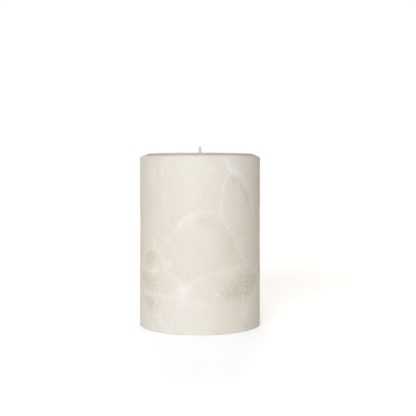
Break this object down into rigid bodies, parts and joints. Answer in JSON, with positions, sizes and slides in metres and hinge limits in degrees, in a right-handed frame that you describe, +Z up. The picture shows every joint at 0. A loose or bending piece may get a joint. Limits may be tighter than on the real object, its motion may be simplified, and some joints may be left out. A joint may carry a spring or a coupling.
{
  "type": "pillar candle",
  "caption": "Straight-sided round pillar candle of cast palm wax with a sloping shoulder, a plaited cotton wick and a flat base to stand on.",
  "frame": {"origin": "centre of the flat base, on the surface that the candle stands on", "axes": "+Z up along the candle's axis; -Y is the side that faces the viewer"},
  "size_m": [0.07, 0.07, 0.1038],
  "materials": {
    "palm_wax": "ivory palm wax with a satin, feathery crystal surface",
    "tinplate": "bright stamped tinplate",
    "waxed_cotton": "off-white plaited cotton, primed with wax"
  },
  "bodies": {
    "root": {"cast_pillar": "palm_wax", "second_pour": "palm_wax", "base_seal": "palm_wax", "wick_sustainer": "tinplate", "wick_ply_1": "waxed_cotton", "wick_ply_2": "waxed_cotton", "wick_ply_3": "waxed_cotton"}
  },
  "joints": []
}
